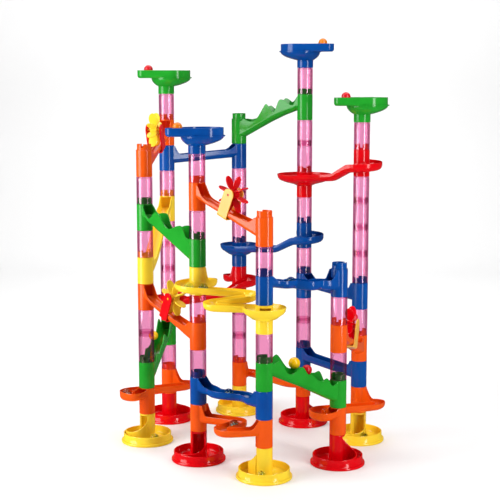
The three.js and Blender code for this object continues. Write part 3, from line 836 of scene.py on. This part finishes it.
def make_bowl(column, level, sign, colour, ball_colour):
    foot = level_z(level)
    name = f"bowl_{column.lower()}"
    low, high = box_mm(name)
    # the dish's middle, from the column: the dish's far part is over the neck
    edge_x = (high[0] if sign < 0 else low[0]) - COLUMN[column][0]
    edge_y = low[1] - COLUMN[column][1]
    dish = np.array([edge_x + sign * (DISH_R + FLANGE), edge_y + DISH_R + FLANGE])
    ball_low, ball_high = box_mm(f"ball_{column.lower()}")
    ball = (ball_low + ball_high) / 2
    shift = np.array([*COLUMN[column], foot])

    outer = [disc_ring((0, 0), NECK_R, 0.15), disc_ring((0, 0), NECK_R, NECK_H)]
    for share in np.linspace(0.12, 1, 8):
        bulge = math.sin(share * math.pi / 2)
        radius = NECK_R + (DISH_R + 0.3 - NECK_R) * bulge
        z = NECK_H + (FUNNEL_TOP - NECK_H) * share ** 1.15
        outer.append(disc_ring(dish * bulge, radius, z))
    outer += [
        disc_ring(dish, DISH_R + 0.4, FUNNEL_TOP),
        disc_ring(dish, DISH_R + FLANGE - 0.2, FUNNEL_TOP),
        disc_ring(dish, DISH_R + FLANGE, FUNNEL_TOP + 0.4),
        disc_ring(dish, DISH_R + FLANGE, FUNNEL_TOP + 1.8),
        disc_ring(dish, DISH_R, FUNNEL_TOP + 2.2),
        disc_ring(dish, DISH_R, BOWL_H - 0.5), disc_ring(dish, DISH_R - 0.4, BOWL_H),
    ]
    inner = [
        disc_ring((0, 0), BORE_R, 8), disc_ring((0, 0), BORE_R, NECK_H + 4),
        disc_ring((0, 0), BORE_R + 1.5, NECK_H + 5.5),
    ]
    for share in np.linspace(0.15, 1, 8):
        bulge = math.sin(share * math.pi / 2)
        radius = BORE_R + 1.5 + (DISH_R - 3 - BORE_R - 1.5) * bulge
        inner.append(disc_ring(dish * bulge, radius, NECK_H + 5.5 + 12.5 * share ** 1.2))
    inner += [
        disc_ring(dish, DISH_R - 1.7, FUNNEL_TOP + 6), disc_ring(dish, DISH_R - 1.7, BOWL_H - 0.4),
        disc_ring(dish, DISH_R - 1.3, BOWL_H + 0.2), disc_ring(dish, DISH_R - 1.3, BOWL_H + 9),
    ]
    # [height, how much narrower than the trough]
    wall = [
        trough_ring(0, z, narrow) for z, narrow in (
            (FUNNEL_TOP + 0.4, 3.5), (FUNNEL_TOP + 1.4, 1.4), (FUNNEL_TOP + 3.6, 0.2),
            (FUNNEL_TOP + 5, 0), (BOWL_H - 0.5, 0), (BOWL_H, 0.4),
        )
    ]
    hollow = [
        trough_ring(-6, z, narrow) for z, narrow in (
            (FUNNEL_TOP + 2.6, 5.0), (FUNNEL_TOP + 3.4, 3.0), (FUNNEL_TOP + 5.4, 1.8),
            (BOWL_H - 0.4, 1.6), (BOWL_H + 0.2, 1.2), (BOWL_H + 9, 1.2),
        )
    ]

    def from_dish(rings):
        return [np.column_stack([dish[0] + sign * r[:, 0], dish[1] + r[:, 1], r[:, 2]])
                for r in rings]

    def placed(rings, mark=OUTSIDE):
        return loft([r + shift for r in rings], mark)

    adds = [placed(outer), placed(from_dish(wall))]
    cuts = [placed(inner, INSIDE), placed(from_dish(hollow), INSIDE),
            rod(SOCKET_R, foot - 1, foot + SPIGOT_H + 0.8, (*COLUMN[column], 0), INSIDE)]
    mesh = combine(adds, cuts)
    finish_piece(name, mesh, both(colour), "run", [name])
    make_ball(f"ball_{column.lower()}", ball, (ball_high - ball_low)[2] / 2, BALLS[ball_colour])


def make_ball(name, centre, radius, material, body=None, nodes=None):
    mesh = bpy.data.meshes.new(name)
    work = bmesh.new()
    bmesh.ops.create_uvsphere(work, u_segments=48, v_segments=32, radius=radius)
    # a fine moulding seam round the middle
    for vert in work.verts:
        if abs(vert.co.z) < radius * 0.02:
            vert.co *= 1.006
    work.to_mesh(mesh)
    work.free()
    mesh.transform(Matrix.Translation(centre))
    return finish_piece(name, mesh, [material], body or name,
                        [name] if nodes is None else nodes)


for bowl in BOWLS:
    make_bowl(*bowl)

# ---- base trays ----
BASE_COLOURS = dict(A="yellow", B="red", C="yellow", D="red", E="yellow", F="red", G="yellow",
                    H="red")
# direction of the middle of each stem's opening, in degrees
BASE_TURN = dict(A=-139, B=-85, C=152, D=-5, E=-84, F=20, G=90, H=60)
TRAY_R = 44.0
TRAY_WALL_R = 40.5
TRAY_RIM = 16
TRAY_FLOOR = 3
WEDGE_R = 14.6  # just past the stem's outside
GUIDE_START, GUIDE_SWEEP = 55, 128  # degrees from the opening's middle, and round to the rim


def make_base(column):
    at = (*COLUMN[column], 0)
    turn = math.radians(BASE_TURN[column])
    colour = BASE_COLOURS[column]
    tray = turned([
        [0, 0], [TRAY_R - 0.6, 0], [TRAY_R, 0.6], [TRAY_R, 3.4], [TRAY_R - 0.6, 4.2],
        [TRAY_WALL_R + 0.6, 4.4], [TRAY_WALL_R, 5.2], [TRAY_WALL_R, TRAY_RIM - 0.6],
        [TRAY_WALL_R - 0.5, TRAY_RIM], [TRAY_WALL_R - 1.3, TRAY_RIM],
        [TRAY_WALL_R - 1.8, TRAY_RIM - 0.6], [TRAY_WALL_R - 2, 7], [TRAY_WALL_R - 3, 4.4],
        [TRAY_WALL_R - 5.5, TRAY_FLOOR], [0, TRAY_FLOOR],
    ], at, sides=120)
    stem = turned([
        [0, 1], [TUBE_R + 3, 1], [TUBE_R + 3, TRAY_FLOOR], [TUBE_R + 1.2, TRAY_FLOOR + 0.5],
        [TUBE_R + 0.2, TRAY_FLOOR + 1.8], [TUBE_R, TRAY_FLOOR + 3],
        [TUBE_R, BASE_H - 0.6], [TUBE_R - 0.4, BASE_H - 0.15], [0, BASE_H - 0.15],
    ], at)
    # the guide wall spirals out from the stem's edge to the rim
    rings = []
    for share in np.linspace(0, 1, 56):
        a = turn + math.radians(GUIDE_START - GUIDE_SWEEP * share)
        radius = 12.9 + 26.2 * math.sin(share * math.pi / 2) ** 1.25
        top = TRAY_RIM + 3.5 * (1 - share) + 18 * math.exp(-((share * 3.6) ** 1.4))
        across = np.array([math.cos(a), math.sin(a)])
        centre = np.array(at[:2]) + radius * across
        half = 1.2 + 2.0 * math.exp(-share * 9)
        profile = [(-half, 1.5), (half + 1.2, 1.5), (half, 6), (1.1, top - 0.6), (0.6, top),
                   (-0.6, top), (-1.1, top - 0.6)]
        rings.append(np.array([(*(centre + s * across), z) for s, z in profile]))
    guide = loft(rings)
    # the stem's opening is a wedge between its two edges, up to near its top
    edge = math.radians(52)
    wedge = [(0.0, 0.0)]
    for a in np.linspace(-edge, edge, 9):
        wedge.append((WEDGE_R * math.cos(turn + a), WEDGE_R * math.sin(turn + a)))
    opening = loft([
        np.array([(at[0] + x, at[1] + y, z) for x, y in wedge])
        for z in (TRAY_FLOOR + 0.2, BASE_H + 20)
    ], INSIDE)
    cap = turned([
        [SPIGOT_R - 1.2, BASE_H - 3], [SPIGOT_R, BASE_H - 3], [SPIGOT_R, BASE_H + SPIGOT_H - 0.8],
        [SPIGOT_R - 0.5, BASE_H + SPIGOT_H - 0.1], [SPIGOT_R - 1.2, BASE_H + SPIGOT_H - 0.1],
    ], at)
    bore = rod(BORE_R, TRAY_FLOOR + 0.2, BASE_H + 1, at, INSIDE)
    mesh = combine([tray, stem], [bore, opening], [cap, guide])
    finish_piece(f"base_{column.lower()}", mesh, both(colour), "run",
                 [f"base_{column.lower()}"])


for column in "ABCDEFGH":
    make_base(column)

# ---- windmills ----
AXLE_S, AXLE_Z = 76, 75
FALL = 0.414  # drop of the chute's underside for each millimetre along it
UNDERSIDE_S, UNDERSIDE_Z = 27, 55  # a point of that underside
PADDLES = 8
# [chute, wheel's colour, bracket's colour]
WINDMILLS = [("h_a", "yellow", "red"), ("a_b", "yellow", "red"), ("b_c", "red", "amber"),
             ("d_e", "red", "amber")]


def make_bracket(name, place, colour):
    """A strip bent under the channel and up both of its sides, with an axle hole in each arm."""
    slope = math.atan(FALL)
    tilt = Vector((math.cos(slope), 0, -math.sin(slope)))  # along the chute, downhill
    rise = Vector((math.sin(slope), 0, math.cos(slope)))
    axle = Vector((AXLE_S, 0, AXLE_Z))
    # the channel's underside straight below the axle along the arm
    reach = (AXLE_Z - (UNDERSIDE_Z - FALL * (AXLE_S - UNDERSIDE_S))) * math.cos(slope)
    width, thick = 9.6, 1.8
    inner = HALF + 0.35
    low = reach + 0.35
    rows = []
    path = []
    for a in np.linspace(0, math.pi / 2, 6):
        path.append((inner - 2.2 + 2.2 * math.sin(a), -(low - 2.2) - 2.2 * math.cos(a)))
    right = [(0.0, -low), *path, (inner, -low * 0.5), (inner, 0)]
    for n, w in right[::-1]:
        rows.append((-n, w))
    rows += right[1:]
    rows = np.array(rows)
    tangent = np.gradient(rows, axis=0)
    tangent /= np.linalg.norm(tangent, axis=1)[:, None]
    normal = np.stack([tangent[:, 1], -tangent[:, 0]], axis=1)
    rings = []
    for (n, w), out in zip(rows, normal):
        ring = []
        for side, depth in ((-1, 0), (1, 0), (1, 1), (-1, 1)):
            p = axle + tilt * (side * width) + rise * (w + out[1] * depth * thick)
            ring.append(place(p.x, n + out[0] * depth * thick, p.z))
        rings.append(np.array(ring))

    def disc(radius, n0, n1, sides, mark=OUTSIDE):
        """A disc about the axle, its corners counted from the chute's slope."""
        rings = []
        for n in (n0, n1):
            ring = []
            for a in np.linspace(0, 2 * math.pi, sides, endpoint=False):
                p = axle + tilt * (radius * math.cos(a)) + rise * (radius * math.sin(a))
                ring.append(place(p.x, n, p.z))
            rings.append(np.array(ring))
        return loft(rings, mark)

    adds = [loft(rings)]
    cuts = []
    for side in (-1, 1):
        adds.append(disc(width, side * inner, side * (inner + thick), 40))
        cuts.append(disc(2.1, side * (inner - 1), side * (inner + thick + 1), 28, INSIDE))
    mesh = combine(adds, cuts)
    finish_piece(name, mesh, both(colour), "run", [name])


def make_wheel(name, place, colour):
    """A ring hub on an axle, with eight oval paddles."""
    axle = (AXLE_S, AXLE_Z)

    def rod_across(radius, half_length, middle=0):
        rings = []
        for n in (middle - half_length, middle + half_length):
            ring = []
            for a in np.linspace(0, 2 * math.pi, 40, endpoint=False):
                s, z = axle[0] + radius * math.cos(a), axle[1] + radius * math.sin(a)
                ring.append(place(s, n, z))
            rings.append(np.array(ring))
        return loft(rings)

    adds = [rod_across(8.2, 5.5), rod_across(1.7, 12.4)]
    for k in range(PADDLES):
        a = (k + 0.5) * 2 * math.pi / PADDLES
        ray = np.array([math.cos(a), math.sin(a)])
        turn = np.array([-math.sin(a), math.cos(a)])
        rings = []
        for offset, shrink in ((-1.0, 0.5), (-0.6, 0.0), (0.6, 0.0), (1.0, 0.5)):
            ring = []
            for b in np.linspace(0, 2 * math.pi, 36, endpoint=False):
                r = 19.0 + (11.6 - shrink) * math.cos(b)
                n = (7.6 - shrink) * math.sin(b)
                s, z = axle + r * ray + offset * turn
                ring.append(place(s, n, z))
            rings.append(np.array(ring))
        adds.append(loft(rings))
    # the hub is hollowed from both ends, and its core and axle are put back
    cuts = [rod_across(6.6, 1.8, side * 5.2) for side in (-1, 1)]
    mesh = combine(adds, cuts, [rod_across(2.6, 6.5), rod_across(1.7, 12.4)])
    finish_piece(name, mesh, both(colour), name, [name])


for key, wheel_colour, bracket_colour in WINDMILLS:
    place = runs[f"windmill_chute_{key}"].place
    make_bracket(f"windmill_bracket_{key}", place, bracket_colour)
    make_wheel(f"windmill_wheel_{key}", place, wheel_colour)

# ---- marbles at rest in the channels and the trays ----


def marble_glass():
    material, nodes, links, shader = new_material("marble_glass")
    flow_marks(nodes, links, shader, (linear("E4F2EC"), linear("F4FBF8")), (0.0, 0.04), 0.02)
    shader.inputs["Transmission Weight"].default_value = 1.0
    shader.inputs["IOR"].default_value = 1.25
    return material


GLASS = marble_glass()
SWIRLS = [plastic("swirl_amber", "E9A21C", "C9561A"), plastic("swirl_green", "6FB04A", "2E7F4F"),
          plastic("swirl_blue", "4C7FD0", "2447A0"), plastic("swirl_red", "D8402A", "A81F1C")]


def make_glass_marble(name, centre, tilt):
    """A clear ball with two coloured ribbons twisted through its middle."""
    radius = MARBLE_R
    mesh = bpy.data.meshes.new(name)
    work = bmesh.new()
    bmesh.ops.create_uvsphere(work, u_segments=48, v_segments=32, radius=radius)
    for band in (0, 1):
        rows = []
        for share in np.linspace(-1, 1, 25):
            twist = 2.2 * share + band * math.pi / 2
            across = np.array([math.cos(twist), math.sin(twist), 0.0])
            edge = np.array([-math.sin(twist), math.cos(twist), 0.0])
            width = radius * 0.55 * math.sqrt(max(0.0, 1 - share * share)) + 0.3
            middle = np.array([0, 0, radius * 0.8 * share])
            row = []
            for side, lift in ((-1, -0.25), (1, -0.25), (1, 0.25), (-1, 0.25)):
                row.append(work.verts.new(middle + side * width * across + lift * edge))
            rows.append(row)
        faces = [rows[0][::-1], rows[-1]]
        for a, b in zip(rows, rows[1:]):
            faces += [(a[k], a[(k + 1) % 4], b[(k + 1) % 4], b[k]) for k in range(4)]
        for corners in faces:
            work.faces.new(corners).material_index = 1 + band
    bmesh.ops.recalc_face_normals(work, faces=work.faces)
    work.to_mesh(mesh)
    work.free()
    mesh.transform(Matrix.Translation(centre) @ Matrix.Rotation(tilt, 4, (0.6, 0.5, 0.62)))
    pick = int(tilt * 2) % 4
    materials = [GLASS, SWIRLS[pick], SWIRLS[(pick + 2) % 4]]
    finish_piece(name, mesh, materials, "run")


# [name, chute, share of its route]
ROLLING = [
    ("marble_loop_a", "loop_chute_a_h", 0.22),
    ("marble_lane_1", "lane_chute_b_c", 0.30),
    ("marble_lane_2", "lane_chute_b_c", 0.36),
    ("marble_bend", "bend_chute_b_c", 0.48),
    ("marble_zigzag", "zigzag_chute_c_b", 0.52),
    ("marble_snake", "snake_chute_c_d", 0.36),
]
# round knobs on the far walls of the wave chutes:
# [name, chute, distance along it, distance to the far side, height, radius, colour]
KNOBS = [
    ("knob_yellow_c_d", "wave_chute_c_d", 60, 8.5, 79, 9.3, "yellow"),
    ("knob_red_c_d", "wave_chute_c_d", 84, 9, 65, 8.2, "red"),
    ("knob_yellow_h_a", "wave_chute_h_a", 66, 9, 74, 8.2, "yellow"),
]
for name, chute, s, n, z, radius, colour in KNOBS:
    run = runs[chute]
    away = n if run.left[1] > 0 else -n
    make_ball(name, run.place(s, away, z), radius, BALLS[colour], "run", [])
for name, chute, share in ROLLING:
    x, y, floor = runs[chute].at(share)
    centre = (x, y, floor + MARBLE_R + 0.2)
    make_glass_marble(name, centre, 1.0 + share * 5)
TRAY_MARBLES = (("A", -60), ("C", -100), ("E", -75))  # [column, direction in degrees]
TRAY_MARBLE_REACH = 28
for column, angle in TRAY_MARBLES:
    a = math.radians(angle)
    x, y = COLUMN[column] + TRAY_MARBLE_REACH * np.array([math.cos(a), math.sin(a)])
    centre = (x, y, TRAY_FLOOR + MARBLE_R + 0.2)
    make_glass_marble(f"marble_tray_{column.lower()}", centre, 2.0 + a)

# ---- floor and light ----


def stage_floor():
    """A pale floor in metres that curves up into a backdrop and stays out of reflections."""
    front, deep, high, bend = -1.6, 2.4, 3.0, 0.6
    rows = [(front, 0.0), (deep - bend, 0.0)]
    for a in np.linspace(0, math.pi / 2, 12)[1:]:
        rows.append((deep - bend + bend * math.sin(a), bend - bend * math.cos(a)))
    rows.append((deep, high))
    verts = [(x, y, z) for y, z in rows for x in (-4.0, 4.0)]
    faces = [(2 * i, 2 * i + 1, 2 * i + 3, 2 * i + 2) for i in range(len(rows) - 1)]
    mesh = bpy.data.meshes.new("floor")
    mesh.from_pydata(verts, [], faces)
    mesh.shade_smooth()
    material, _, _, shader = new_material("floor")
    shader.inputs["Base Color"].default_value = (0.9, 0.9, 0.9, 1)
    shader.inputs["Roughness"].default_value = 0.55
    shader.inputs["Specular IOR Level"].default_value = 0.2
    mesh.materials.append(material)
    item = bpy.data.objects.new("floor", mesh)
    item.visible_glossy = False
    bpy.context.scene.collection.objects.link(item)


def strip_light(name, azimuth, distance, height, width, tall, radiance, aim=(0, 0, 0.3)):
    """A soft rectangular light; azimuth 0 stands on the camera's side, positive to its right."""
    data = bpy.data.lights.new(name, "AREA")
    data.shape = "RECTANGLE"
    data.size, data.size_y = width, tall
    data.energy = radiance * math.pi * width * tall
    item = bpy.data.objects.new(name, data)
    bpy.context.scene.collection.objects.link(item)
    a = math.radians(azimuth)
    item.location = (distance * math.sin(a), -distance * math.cos(a), height)
    item.rotation_euler = (Vector(aim) - item.location).to_track_quat("-Z", "Y").to_euler()


stage_floor()
world = bpy.data.worlds.new("world")
bpy.context.scene.world = world
world.use_nodes = True
world.node_tree.nodes["Background"].inputs["Color"].default_value = (1, 1, 1, 1)
world.node_tree.nodes["Background"].inputs["Strength"].default_value = 0.10
strip_light("left_softbox", -68, 1.0, 0.62, 0.6, 1.3, 5.0)
strip_light("right_strip", 42, 0.9, 0.62, 0.18, 1.3, 9.0)
strip_light("top_light", 0, -0.5, 1.9, 2.4, 2.4, 1.5, aim=(0, 0.5, 0))
strip_light("backdrop_light", 0, -1.0, 2.2, 3.4, 1.2, 2.9, aim=(0, 2.4, 0.7))
